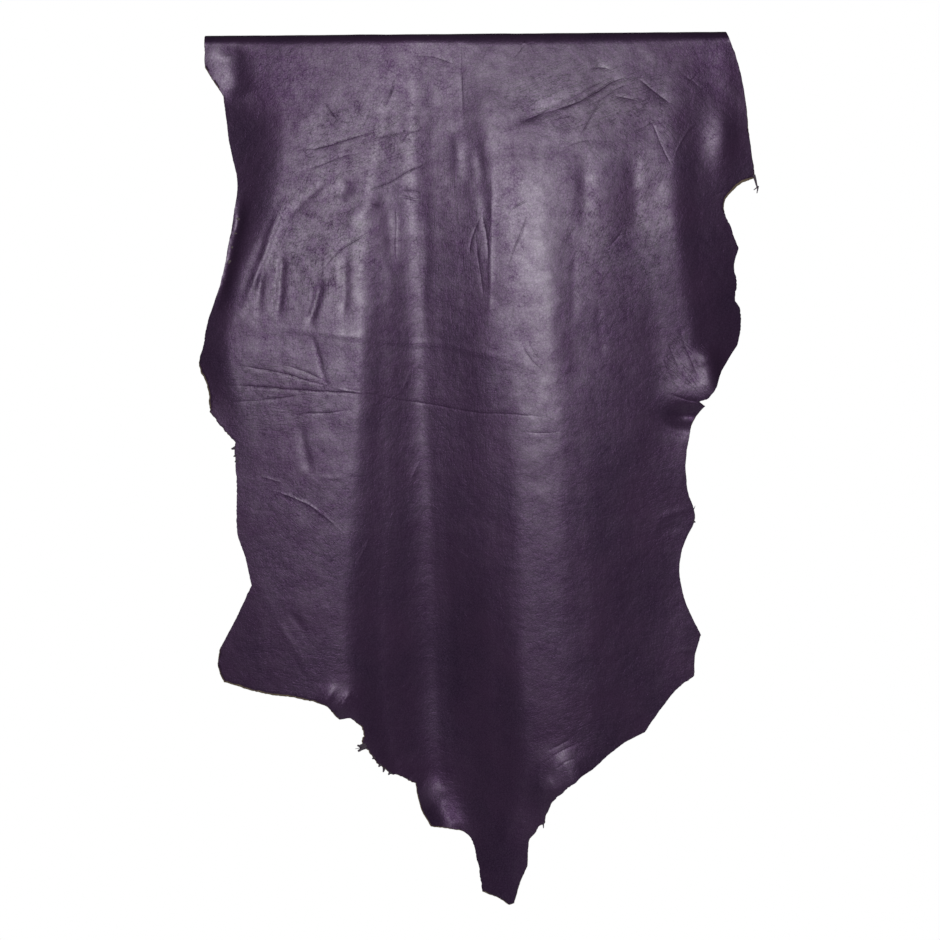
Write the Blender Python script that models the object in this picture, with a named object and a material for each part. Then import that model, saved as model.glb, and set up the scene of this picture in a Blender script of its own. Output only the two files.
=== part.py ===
"""Whole leather hide, hung by its shoulders over a round bar that is not part of it.

The hide is one sheet of leather. It is drawn as a flat pattern, a fall in front of the
crest and a shorter one behind it, and the pattern is then draped: it rolls over the
crest through half a turn and hangs down on both sides, with long soft folds in front.

Frame: metres, +Z up, +X to the right of the grain side, which faces -Y. The origin is
the underside of the crest at mid width, where the bar bears.
"""
from collections import namedtuple
from math import acos, ceil, cos, hypot, pi, sin, tan, radians

import bmesh
import bpy
import numpy as np
from mathutils import Vector
from mathutils.geometry import delaunay_2d_cdt

# ---------------------------------------------------------------- driving dimensions
MM = 0.001
SHEET = 1.6 * MM            # thickness of the leather
BAR_RADIUS = 12.5 * MM      # inside radius of the turn over the crest
NET_PITCH = 22.0 * MM       # spacing of the surface points on the falls
TURN_PITCH = 5.2 * MM       # spacing of the surface points round the turn
EDGE_PITCH = 12.0 * MM      # spacing of the points along the cut edge

TURN_RADIUS = BAR_RADIUS + SHEET / 2    # of the middle of the sheet
QUARTER_TURN = TURN_RADIUS * pi / 2     # leather used from the crest to the side of the bar

# The cut edge of the front fall, as it hangs, anticlockwise from the left of the crest.
# A stretch ends at x, drop: to the right of mid width and below the top of the crest,
# in mm. bow is how far its middle stands out (+) or in (-) from a straight line, and
# corner says that it meets the next stretch at a corner and not in a smooth curve.
Stretch = namedtuple("Stretch", "name x drop bow corner")
FRONT_START = (-360, 0)
FRONT_EDGE = (
    Stretch("neck side, left", -360, 45, 0, True),
    Stretch("neck notch", -335, 85, 0, True),
    Stretch("shoulder, left", -317, 207, 2, False),
    Stretch("waist, left", -334, 306, -1, False),
    Stretch("flank rise, left", -359, 395, -2, False),
    Stretch("flank point, left", -371, 450, -1, False),
    Stretch("flank nick", -355, 518, -3, True),
    Stretch("ragged flank", -321, 561, 1, True),
    Stretch("flank step", -323, 569, 0, True),
    Stretch("belly, left", -320, 687, -1, False),
    Stretch("stifle, left", -301, 758, -2, True),
    Stretch("leg outside, left", -345, 845, -1, True),
    Stretch("leg heel, left", -340, 891, 6, True),
    Stretch("leg end, left", -229, 916, 3, False),
    Stretch("leg inside, left", -181, 943, -6, True),
    Stretch("crotch nick, left", -166, 942, 0, False),
    Stretch("crotch, left", -147, 963, -4, False),
    Stretch("torn point", -150, 979, 0, True),
    Stretch("torn notch", -144, 985, 0, True),
    Stretch("ragged rump, left", -113, 1020, 2, True),
    Stretch("rump, left", -78, 1034, -2, True),
    Stretch("lappet side", -57, 1093, 4, True),
    Stretch("lappet end", -9, 1103, -1, False),
    Stretch("tail side, left", 13, 1184, -5, True),
    Stretch("tail end", 50, 1201, -2, True),
    Stretch("tail tip", 57, 1199, 0, True),
    Stretch("tail side, right", 76, 1147, -2, True),
    Stretch("tail root, right", 79, 1110, -1, False),
    Stretch("rump notch, right", 93, 1091, 1, False),
    Stretch("torn tag, right", 100, 1089, 0, True),
    Stretch("rump nick, right", 103, 1074, 0, False),
    Stretch("rump, right", 146, 1027, 0, False),
    Stretch("thigh inside, right", 191, 993, 2, False),
    Stretch("thigh corner, right", 239, 965, -2, True),
    Stretch("leg inside, right", 289, 902, -2, False),
    Stretch("leg heel, right", 308, 888, 0, True),
    Stretch("leg corner, right", 318, 832, -3, True),
    Stretch("leg outside, right", 289, 735, -7, False),
    Stretch("stifle, right", 304, 688, -3, False),
    Stretch("belly bump", 311, 671, 1, False),
    Stretch("belly, right", 303, 640, 2, False),
    Stretch("waist, right", 298, 597, -1, False),
    Stretch("flank, right", 311, 534, -2, False),
    Stretch("slit, lower lip", 326, 516, 0, True),
    Stretch("slit, inner end", 318, 510, 0, True),
    Stretch("slit, upper lip", 329, 506, 0, True),
    Stretch("flank rise, right", 345, 476, 1, False),
    Stretch("flank corner, right", 372, 433, -1, True),
    Stretch("flank point, right", 377, 413, 0, True),
    Stretch("ragged flank, right", 370, 368, 4, False),
    Stretch("armpit, right", 368, 324, 3, False),
    Stretch("armpit point, right", 375, 298, 0, True),
    Stretch("hook root", 354, 241, -1, False),
    Stretch("hook step", 362, 224, -2, True),
    Stretch("hook tip", 398, 202, -4, True),
    Stretch("shoulder, right", 384, 92, -1, False),
    Stretch("neck side, right", 360, 4, 3, True),
    Stretch("crest, right", 358, 0, 0, True),
)
# The edge of the rear fall, on from the right of the crest and back to the left. over is
# the length of leather from the crest to the point, in mm.
Tuck = namedtuple("Tuck", "name x over bow corner")
REAR_EDGE = (
    Tuck("neck, right", 346, 30, 0, False),
    Tuck("shoulder behind, right", 252, 140, -12, False),
    Tuck("neck side behind, right", 150, 268, 8, False),
    Tuck("neck end", -84, 318, 30, False),
    Tuck("neck side behind, left", -206, 214, 8, False),
    Tuck("shoulder behind, left", -330, 76, -12, False),
    Tuck("neck, left", -358, 26, 0, False),
)

# How far each fold of the front fall lies from the middle, and how far forward it
# stands, both in mm, at each of the levels below the crest.
LEVELS = (0, 60, 130, 230, 340, 435, 545, 670, 795, 915, 1030, 1125, 1205)
FOLDS = {
    "left margin": ((-366, 0), (-362, -3.5), (-332, -13), (-322, -9), (-346, -4), (-374, -6),
        (-342, 2), (-323, 3), (-323, 2), (-345, -2), (-345, -8), (-300, -20), (-250, -28)),
    "left ridge": ((-290, 0), (-250, 0), (-246, 0), (-262, 1), (-310, 3), (-326, 4), (-300, 4),
        (-280, 4.5), (-282, 5), (-285, 3), (-285, 0), (-240, -16), (-190, -20)),
    "left face": ((-200, 0), (-200, 0), (-200, 0), (-205, 1), (-220, 2), (-226, 3), (-226, 4),
        (-226, 5), (-232, 6), (-228, 6), (-215, 0), (-180, -14), (-130, -20)),
    "left crest": ((-124, 0), (-124, 0), (-124, 0), (-144, 1), (-154, 2), (-154, 3), (-162, 3),
        (-170, 4), (-180, 5), (-172, 5), (-130, -8), (-90, -16), (-60, -24)),
    "left slope": ((-92, 0), (-92, -1), (-98, -2), (-110, -2.5), (-112, -3.5), (-112, -5),
        (-114, -6.5), (-116, -8), (-122, -11), (-120, -14), (-96, -20), (-60, -22), (-36, -27)),
    "spine valley": ((-70, 0), (-72, -2), (-74, -4), (-74, -6), (-70, -9.5), (-67, -13),
        (-63, -16), (-58, -20), (-55, -27), (-52, -34), (-46, -34), (-26, -28), (-10, -27)),
    "spine rise": ((-46, 0), (-46, -1), (-46, -2), (-46, -3.5), (-44, -7), (-42, -10),
        (-40, -13), (-37, -17), (-36, -24.5), (-34, -31), (-26, -31), (-12, -26), (0, -25)),
    "spine terrace": ((-10, 0), (-9, 0), (-8, 0.5), (-8, 0.5), (-10, -2), (-12, -4.5),
        (-13, -8), (-12, -11), (-10, -17), (-8, -22), (0, -24), (4, -21), (12, -21)),
    "spine edge": ((34, 0), (34, 2), (34, 5), (34, 6), (34, 4.5), (34, 4), (34, 2), (34, -0.5),
        (32, -3), (32, -7), (34, -11), (28, -12), (26, -16)),
    "right shoulder": ((66, 0), (66, 2), (66, 5), (66, 7.5), (68, 7.5), (70, 7), (72, 7),
        (74, 6.5), (74, 6), (78, 6.5), (80, 4), (44, -6), (40, -11)),
    "right crest": ((100, 0), (100, 2), (100, 4.5), (100, 7.5), (104, 8), (112, 8), (122, 9),
        (120, 8), (120, 7.5), (122, 8), (124, 6), (66, -1), (56, -7)),
    "flank slope": ((146, 0), (146, 2), (146, 4), (146, 6), (148, 5.5), (150, 5), (156, 6.5),
        (156, 5), (158, 4), (156, 5.5), (156, 5), (84, 0), (66, -5)),
    "flank ridge": ((185, 0), (185, 1), (188, 3.5), (190, 4.5), (192, 3), (194, 1.5),
        (196, 1.5), (196, -1.5), (198, -3), (190, 0), (178, 2), (98, -1), (76, -5)),
    "right hollow": ((220, 0), (220, 1), (224, 2.5), (232, 1.5), (230, 0), (228, -2.5),
        (228, -3), (228, -7), (228, -9), (214, -4.5), (194, -2), (114, -4), (88, -6)),
    "right brow": ((252, 0), (252, 0.5), (252, 2), (256, 1), (254, -1.5), (262, -6.5),
        (258, -7.5), (256, -11), (254, -13.5), (238, -8.5), (210, -6), (132, -8), (100, -8)),
    "right ridge": ((290, 0), (290, 0), (282, 1.5), (280, 1.5), (292, -3), (306, -8),
        (284, -9.5), (280, -14), (278, -16.5), (258, -11.5), (224, -9), (148, -11), (114, -10)),
    "right lip": ((335, 0), (335, -2), (322, -3), (320, -5.5), (326, -10), (332, -14),
        (304, -10.5), (298, -15.5), (298, -18), (276, -13.5), (238, -12), (190, -18),
        (160, -18)),
    "right margin": ((366, 0), (372, -3.5), (388, -9), (372, -14), (372, -22), (378, -29),
        (316, -11.5), (313, -17), (318, -20), (304, -16), (256, -16), (224, -24), (190, -24)),
}
# Local swellings (+) and pockets (-), as far forward as forward says, in mm.
Swell = namedtuple("Swell", "name x drop forward half_width half_height")
SWELLS = (
    Swell("bulge over the slit", 312, 470, 9, 22, 24),
    Swell("pocket under the slit", 300, 530, -8, 24, 16),
    Swell("hook", 352, 150, 4, 18, 38),
    Swell("inside of the left leg", -188, 918, 5, 20, 18),
    Swell("rump, right", 128, 1012, 5, 32, 24),
)
LAPPET_HINGE = ((-84, 1026), (2, 1110))     # the lappet bends forward beyond this line
LAPPET_TILT = radians(24.0)
LAPPET_ROUNDING = 6.0                       # mm
REAR_FLARE = 9.0                            # mm the rear fall stands back at its end
REAR_WAVE = 4.0                             # mm of wave across its end
REAR_WAVE_PITCH = 190.0                     # mm
REAR_REACH = 340.0                          # mm of leather behind the crest
DYED_PURPLE = (0.030, 0.016, 0.042, 1.0)    # grain side, linear colour
STRETCH_STEPS = 12                          # points worked out on each stretch of edge


# ------------------------------------------------------------------- flat pattern
def over_crest(drop):
    """Length of leather, in mm, from the crest down to a drop in front of the bar."""
    turn = (BAR_RADIUS + SHEET) / MM
    if drop < turn:
        return TURN_RADIUS / MM * acos(1 - drop / turn)
    return QUARTER_TURN / MM + drop - turn


def bowed_points(start, stretches):
    """Ends and bowed middles of the stretches, with a flag for each corner."""
    points = [(start[0], start[1], True)]
    for name, x, y, bow, corner in stretches:
        x0, y0 = points[-1][:2]
        length = hypot(x - x0, y - y0)
        if bow:
            points.append(((x0 + x) / 2 + bow * (y - y0) / length,
                           (y0 + y) / 2 - bow * (x - x0) / length, False))
        points.append((x, y, corner))
    return points


def tangent(points, i):
    """Direction of the smooth curve at a point, for a Hermite curve."""
    before, here, after = points[i - 1], points[i], points[i + 1]
    d0 = hypot(here[0] - before[0], here[1] - before[1])
    d1 = hypot(after[0] - here[0], after[1] - here[1])
    return [((here[k] - before[k]) / d0 * d1 + (after[k] - here[k]) / d1 * d0) / (d0 + d1)
            for k in (0, 1)]


def smooth_edge(points):
    """Curve through the points, broken at each corner."""
    curve = []
    last = len(points) - 1
    for i in range(last):
        a, b = points[i], points[i + 1]
        length = hypot(b[0] - a[0], b[1] - a[1])
        chord = [(b[k] - a[k]) / length for k in (0, 1)]
        ta = chord if a[2] or i == 0 else tangent(points, i)
        tb = chord if b[2] or i + 1 == last else tangent(points, i + 1)
        for step in range(STRETCH_STEPS):
            t = step / STRETCH_STEPS
            h1, h2 = (2 * t - 3) * t * t + 1, ((t - 2) * t + 1) * t
            h3, h4 = (3 - 2 * t) * t * t, (t - 1) * t * t
            curve.append(tuple(h1 * a[k] + h3 * b[k] + length * (h2 * ta[k] + h4 * tb[k])
                               for k in (0, 1)) + (a[2] and step == 0,))
    return curve


def even_edge(curve, pitch):
    """The closed curve with its corners kept and points one pitch apart between them."""
    corners = [i for i, point in enumerate(curve) if point[2]]
    edge = []
    for n, first in enumerate(corners):
        after = corners[(n + 1) % len(corners)]
        run = curve[first:after + 1] if after > first else curve[first:] + curve[:after + 1]
        run = np.array([point[:2] for point in run])
        along = np.append(0.0, np.cumsum(np.hypot(*np.diff(run, axis=0).T)))
        pieces = max(1, ceil(along[-1] / pitch - 0.25))
        for step in range(pieces):
            at = along[-1] * step / pieces
            edge.append((np.interp(at, along, run[:, 0]), np.interp(at, along, run[:, 1])))
    return np.array(edge)


def pattern_edge():
    """Cut edge of the flat hide in mm: x, and height over the crest line."""
    hanging = [(row.name, row.x, -row.drop, row.bow, row.corner) for row in FRONT_EDGE]
    front = smooth_edge(bowed_points(FRONT_START, hanging))
    front = [(x, -over_crest(max(0.0, -y)), corner) for x, y, corner in front]
    rear_start = (FRONT_EDGE[-1].x, 0)
    rear_end = Tuck("crest, left", FRONT_START[0], 0, 0, True)
    rear = smooth_edge(bowed_points(rear_start, REAR_EDGE + (rear_end,)))
    return even_edge(front + rear, EDGE_PITCH / MM)


def inside(points, edge):
    """Which of the points lie within the closed edge."""
    x, y = points[:, :1], points[:, 1:]
    ax, ay = edge[:, 0], edge[:, 1]
    bx, by = np.roll(ax, -1), np.roll(ay, -1)
    crosses = (ay > y) != (by > y)
    at = ax + (y - ay) * (bx - ax) / np.where(by == ay, 1.0, by - ay)
    return np.count_nonzero(crosses & (x < at), axis=1) % 2 == 1


def rows_down_the_hide(lowest, highest):
    """Heights of the rows of surface points: close together round the turn."""
    quarter = QUARTER_TURN / MM
    turn_rows = ceil(2 * quarter / (TURN_PITCH / MM))
    heights = [quarter - 2 * quarter * i / turn_rows for i in range(turn_rows + 1)]
    pitch = NET_PITCH / MM * cos(pi / 6)
    above = np.arange(quarter + pitch, highest, pitch)
    below = np.arange(-quarter - pitch, lowest, -pitch)
    return sorted([*heights, *above, *below])


def surface_points(edge):
    """Net of points in equal triangles, kept clear of the cut edge."""
    pitch = NET_PITCH / MM
    (left, lowest), (right, highest) = edge.min(axis=0), edge.max(axis=0)
    net = []
    for n, height in enumerate(rows_down_the_hide(lowest, highest)):
        shift = pitch / 2 if n % 2 else 0.0
        net += [(x, height) for x in np.arange(left + shift, right, pitch)]
    net = np.array(net)
    net = net[inside(net, edge)]
    clear = 0.5 * EDGE_PITCH / MM
    distance = np.hypot(net[:, :1] - edge[:, 0], net[:, 1:] - edge[:, 1]).min(axis=1)
    return net[distance > clear]


# ------------------------------------------------------------------------- drape
def run_through(knots_at, knots, at):
    """Cubic through knots, flat at each highest and lowest one, straight past the ends."""
    steps = np.diff(knots_at)
    slopes = np.diff(knots) / steps
    ends = np.zeros(len(knots))
    for i in range(1, len(knots) - 1):
        if slopes[i - 1] * slopes[i] > 0:
            w0, w1 = 2 * steps[i] + steps[i - 1], steps[i] + 2 * steps[i - 1]
            ends[i] = (w0 + w1) / (w0 / slopes[i - 1] + w1 / slopes[i])
    ends[0], ends[-1] = slopes[0], slopes[-1]
    if at <= knots_at[0]:
        return knots[0] + ends[0] * (at - knots_at[0])
    if at >= knots_at[-1]:
        return knots[-1] + ends[-1] * (at - knots_at[-1])
    i = int(np.searchsorted(knots_at, at)) - 1
    t, step = (at - knots_at[i]) / steps[i], steps[i]
    return ((1 + 2 * t) * (1 - t) ** 2 * knots[i] + t * (1 - t) ** 2 * step * ends[i]
            + t * t * (3 - 2 * t) * knots[i + 1] + t * t * (t - 1) * step * ends[i + 1])


def folds_forward(x, drop):
    """How far forward the front fall stands, in mm, at x mm and a drop in mm."""
    section = []
    for run in FOLDS.values():
        across, forward = zip(*run)
        section.append((run_through(LEVELS, across, drop), run_through(LEVELS, forward, drop)))
    across, forward = zip(*section)
    depth = run_through(across, forward, x)
    for swell in SWELLS:
        u, v = (x - swell.x) / swell.half_width, (drop - swell.drop) / swell.half_height
        depth += swell.forward * np.exp(-u * u - v * v)
    return depth + lappet_forward(x, drop)


def lappet_forward(x, drop):
    """The small lappet beside the tail turns forward beyond its hinge line."""
    (x0, drop0), (x1, drop1) = LAPPET_HINGE
    length = hypot(x1 - x0, drop1 - drop0)
    along = ((x - x0) * (x1 - x0) + (drop - drop0) * (drop1 - drop0)) / length
    beyond = ((drop - drop0) * (x1 - x0) - (x - x0) * (drop1 - drop0)) / length
    if along < 0 or along > length or beyond < -4 * LAPPET_ROUNDING:
        return 0.0
    rounded = LAPPET_ROUNDING * np.logaddexp(0.0, beyond / LAPPET_ROUNDING)
    return tan(LAPPET_TILT) * rounded * sin(pi * along / length) ** 0.5


def rear_stand(x, over):
    """How far the rear fall stands back from the bar's side, in mm."""
    down = (over - QUARTER_TURN / MM) / REAR_REACH
    return REAR_FLARE * down ** 2 + REAR_WAVE * down * (1 + sin(2 * pi * x / REAR_WAVE_PITCH))


def drape(x, height):
    """Place in metres of a point of the flat pattern, given in mm."""
    quarter = QUARTER_TURN / MM
    if abs(height) < quarter:
        angle = height * MM / TURN_RADIUS
        return Vector((x * MM, TURN_RADIUS * sin(angle), TURN_RADIUS * cos(angle) - BAR_RADIUS))
    z = -BAR_RADIUS - (abs(height) - quarter) * MM
    if height > 0:
        return Vector((x * MM, TURN_RADIUS + rear_stand(x, height) * MM, z))
    return Vector((x * MM, -TURN_RADIUS - folds_forward(x, (SHEET - z) / MM) * MM, z))


# ------------------------------------------------------------------------ objects
def clear_scene():
    for thing in list(bpy.data.objects):
        bpy.data.objects.remove(thing, do_unlink=True)


def dyed_leather():
    material = bpy.data.materials.new("dyed_leather")
    material.use_nodes = True
    shader = material.node_tree.nodes["Principled BSDF"]
    shader.inputs["Base Color"].default_value = DYED_PURPLE
    shader.inputs["Roughness"].default_value = 0.42
    shader.inputs["Metallic"].default_value = 0.0
    return material


def hide():
    """The hide: the flat pattern in triangles, draped, then given its thickness."""
    edge = pattern_edge()
    flat = [Vector(point) for point in (*edge, *surface_points(edge))]
    border = [list(range(len(edge)))]
    points, _, faces, *_ = delaunay_2d_cdt(flat, [], border, 1, 0.01)

    sheet = bmesh.new()
    corners = [sheet.verts.new(drape(*point)) for point in points]
    for face in faces:
        sheet.faces.new([corners[i] for i in face])
    loose = [corner for corner in sheet.verts if not corner.link_faces]
    bmesh.ops.delete(sheet, geom=loose, context="VERTS")
    bmesh.ops.recalc_face_normals(sheet, faces=sheet.faces)
    front = min(sheet.faces, key=lambda face: face.calc_center_median().y)
    if front.normal.y > 0:
        bmesh.ops.reverse_faces(sheet, faces=sheet.faces)

    mesh = bpy.data.meshes.new("hide")
    sheet.to_mesh(mesh)
    sheet.free()
    mesh.materials.append(dyed_leather())
    mesh.shade_smooth()
    leather = bpy.data.objects.new("hide", mesh)
    bpy.context.scene.collection.objects.link(leather)
    thickness = leather.modifiers.new("thickness", "SOLIDIFY")
    thickness.thickness = SHEET
    thickness.offset = 0.0
    return leather


clear_scene()
hide()
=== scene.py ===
"""Looks of a whole leather hide that hangs by its shoulders over a bar, built round the CAD frame.

Lengths in the tables are in mm on the hide: x to the right of its middle, drop below the
top of its crest. The script works in metres, +Z up, with the grain side facing -Y.
"""
from collections import namedtuple
from math import acos, ceil, hypot, pi, radians, tan

import bpy
import numpy as np
from mathutils import Matrix, Vector, noise
from mathutils.geometry import delaunay_2d_cdt
from mathutils.kdtree import KDTree


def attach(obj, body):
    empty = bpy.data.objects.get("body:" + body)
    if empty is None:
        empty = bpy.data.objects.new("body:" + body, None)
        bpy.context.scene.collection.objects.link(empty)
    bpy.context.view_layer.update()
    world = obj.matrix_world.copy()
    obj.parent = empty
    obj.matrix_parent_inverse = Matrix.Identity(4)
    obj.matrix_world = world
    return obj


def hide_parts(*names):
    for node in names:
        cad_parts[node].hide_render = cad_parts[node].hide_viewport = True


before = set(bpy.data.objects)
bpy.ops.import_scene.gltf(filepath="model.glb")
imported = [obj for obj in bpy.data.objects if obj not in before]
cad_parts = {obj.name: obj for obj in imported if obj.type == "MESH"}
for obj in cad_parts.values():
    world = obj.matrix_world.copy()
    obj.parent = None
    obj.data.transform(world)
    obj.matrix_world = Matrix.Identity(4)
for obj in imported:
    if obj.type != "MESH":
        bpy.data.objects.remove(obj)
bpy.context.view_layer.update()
scene = bpy.context.scene

# ------------------------------------------------------------------------ camera
# It looks straight at the grain side from the height of the hide's middle, turned by
# less than half a degree about its own axis.
CAMERA_DISTANCE = 4.5
CAMERA_AIM = Vector((0.0008, -0.0142, -0.600))
CAMERA_ROLL = radians(-0.449)
VIEW_WIDTH = 1.2925         # width of the view at the hide
SENSOR_WIDTH = 36.0         # mm

camera = bpy.data.objects.new("camera", bpy.data.cameras.new("camera"))
scene.collection.objects.link(camera)
camera.matrix_world = (Matrix.Translation(CAMERA_AIM + Vector((0, -CAMERA_DISTANCE, 0)))
                       @ Matrix.Rotation(pi / 2, 4, "X") @ Matrix.Rotation(CAMERA_ROLL, 4, "Z"))
camera.data.sensor_width = SENSOR_WIDTH
camera.data.lens = SENSOR_WIDTH * CAMERA_DISTANCE / VIEW_WIDTH
scene.camera = camera

# -------------------------------------------------------------------------- hide
# One whole small skin, such as a goat's or a deer's, dyed through, 1.6 mm thick, glazed on
# the grain side and rough suede on the flesh side. It is cut with a ragged edge and only
# draped: it rolls over the bar and falls in long soft folds, with its storage creases.
MM = 0.001
SHEET = 1.6 * MM
BAR_RADIUS = 12.5 * MM
TURN_RADIUS = BAR_RADIUS + SHEET / 2    # of the middle of the sheet
QUARTER = TURN_RADIUS / MM * pi / 2     # mm of leather from the crest to the side of the bar

# The cut edge of the front fall, as it hangs, anticlockwise from the left of the crest.
# A stretch ends at x, drop: to the right of mid width and below the top of the crest,
# in mm. bow is how far its middle stands out (+) or in (-) from a straight line, and
# corner says that it meets the next stretch at a corner and not in a smooth curve. The
# knife left it rough: fray is how far the cut wanders, and skive how much wider the flesh
# side is than the grain side. A stretch that gives neither is cut plainly.
PLAIN_CUT = (0.45, 0.5)
Stretch = namedtuple("Stretch", "name x drop bow corner fray skive", defaults=PLAIN_CUT)
FRONT_START = (-360, 0)
FRONT_EDGE = [Stretch(*row) for row in (
    ("neck side, left", -360, 45, 0, True),
    ("neck notch", -335, 85, 0, True, 0.5, 1.5),
    ("shoulder, left", -317, 207, 2, False),
    ("waist, left", -334, 306, -1, False),
    ("flank rise, left", -359, 395, -2, False),
    ("flank point, left", -371, 450, -1, False, 0.7, 0.6),
    ("flank nick", -355, 518, -3, True, 1.2, 2.0),
    ("ragged flank", -321, 561, 1, True, 1.5, 0.9),
    ("flank step", -323, 569, 0, True),
    ("belly, left", -320, 687, -1, False, 0.9, 0.4),
    ("stifle, left", -301, 758, -2, True),
    ("leg outside, left", -345, 845, -1, True),
    ("leg heel, left", -340, 891, 6, True, 0.6, 1.6),
    ("leg end, left", -229, 916, 3, False, 0.7, 2.2),
    ("leg inside, left", -181, 943, -6, True, 0.8, 1.6),
    ("crotch nick, left", -166, 942, 0, False),
    ("crotch, left", -147, 963, -4, False, 1.6, 0.9),
    ("torn point", -150, 979, 0, True, 2.2, 1.2),
    ("torn notch", -144, 985, 0, True, 2.2, 1.2),
    ("ragged rump, left", -113, 1020, 2, True, 2.2, 0.9),
    ("rump, left", -78, 1034, -2, True, 1.6, 0.7),
    ("lappet side", -57, 1093, 4, True),
    ("lappet end", -9, 1103, -1, False, 0.6, 0.9),
    ("tail side, left", 13, 1184, -5, True, 0.8, 0.8),
    ("tail end", 50, 1201, -2, True, 0.8, 2.0),
    ("tail tip", 57, 1199, 0, True),
    ("tail side, right", 76, 1147, -2, True),
    ("tail root, right", 79, 1110, -1, False),
    ("rump notch, right", 93, 1091, 1, False),
    ("torn tag, right", 100, 1089, 0, True, 1.2, 0.8),
    ("rump nick, right", 103, 1074, 0, False, 1.2, 0.8),
    ("rump, right", 146, 1027, 0, False, 1.0, 0.5),
    ("thigh inside, right", 191, 993, 2, False),
    ("thigh corner, right", 239, 965, -2, True),
    ("leg inside, right", 289, 902, -2, False),
    ("leg heel, right", 308, 888, 0, True, 1.0, 0.6),
    ("leg corner, right", 318, 832, -3, True),
    ("leg outside, right", 289, 735, -7, False),
    ("stifle, right", 304, 688, -3, False),
    ("belly bump", 311, 671, 1, False),
    ("belly, right", 303, 640, 2, False),
    ("waist, right", 298, 597, -1, False),
    ("flank, right", 311, 534, -2, False),
    ("slit, lower lip", 326, 516, 0, True),
    ("slit, inner end", 318, 510, 0, True),
    ("slit, upper lip", 329, 506, 0, True),
    ("flank rise, right", 345, 476, 1, False),
    ("flank corner, right", 372, 433, -1, True),
    ("flank point, right", 377, 413, 0, True),
    ("ragged flank, right", 370, 368, 4, False, 1.3, 0.7),
    ("armpit, right", 368, 324, 3, False, 1.3, 0.7),
    ("armpit point, right", 375, 298, 0, True),
    ("hook root", 354, 241, -1, False, 0.8, 0.6),
    ("hook step", 362, 224, -2, True, 0.5, 2.2),
    ("hook tip", 398, 202, -4, True, 0.5, 3.8),
    ("shoulder, right", 384, 92, -1, False, 0.5, 1.0),
    ("neck side, right", 360, 4, 3, True),
    ("crest, right", 358, 0, 0, True),
)]
# The edge of the rear fall, on from the right of the crest and back to the left. over is
# the length of leather from the crest to the point, in mm.
Tuck = namedtuple("Tuck", "name x over bow corner fray skive", defaults=PLAIN_CUT)
REAR_EDGE = [Tuck(*row) for row in (
    ("neck, right", 346, 30, 0, False),
    ("shoulder behind, right", 252, 140, -12, False),
    ("neck side behind, right", 150, 268, 8, False),
    ("neck end", -84, 318, 30, False),
    ("neck side behind, left", -206, 214, 8, False),
    ("shoulder behind, left", -330, 76, -12, False),
    ("neck, left", -358, 26, 0, False),
)]

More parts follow.
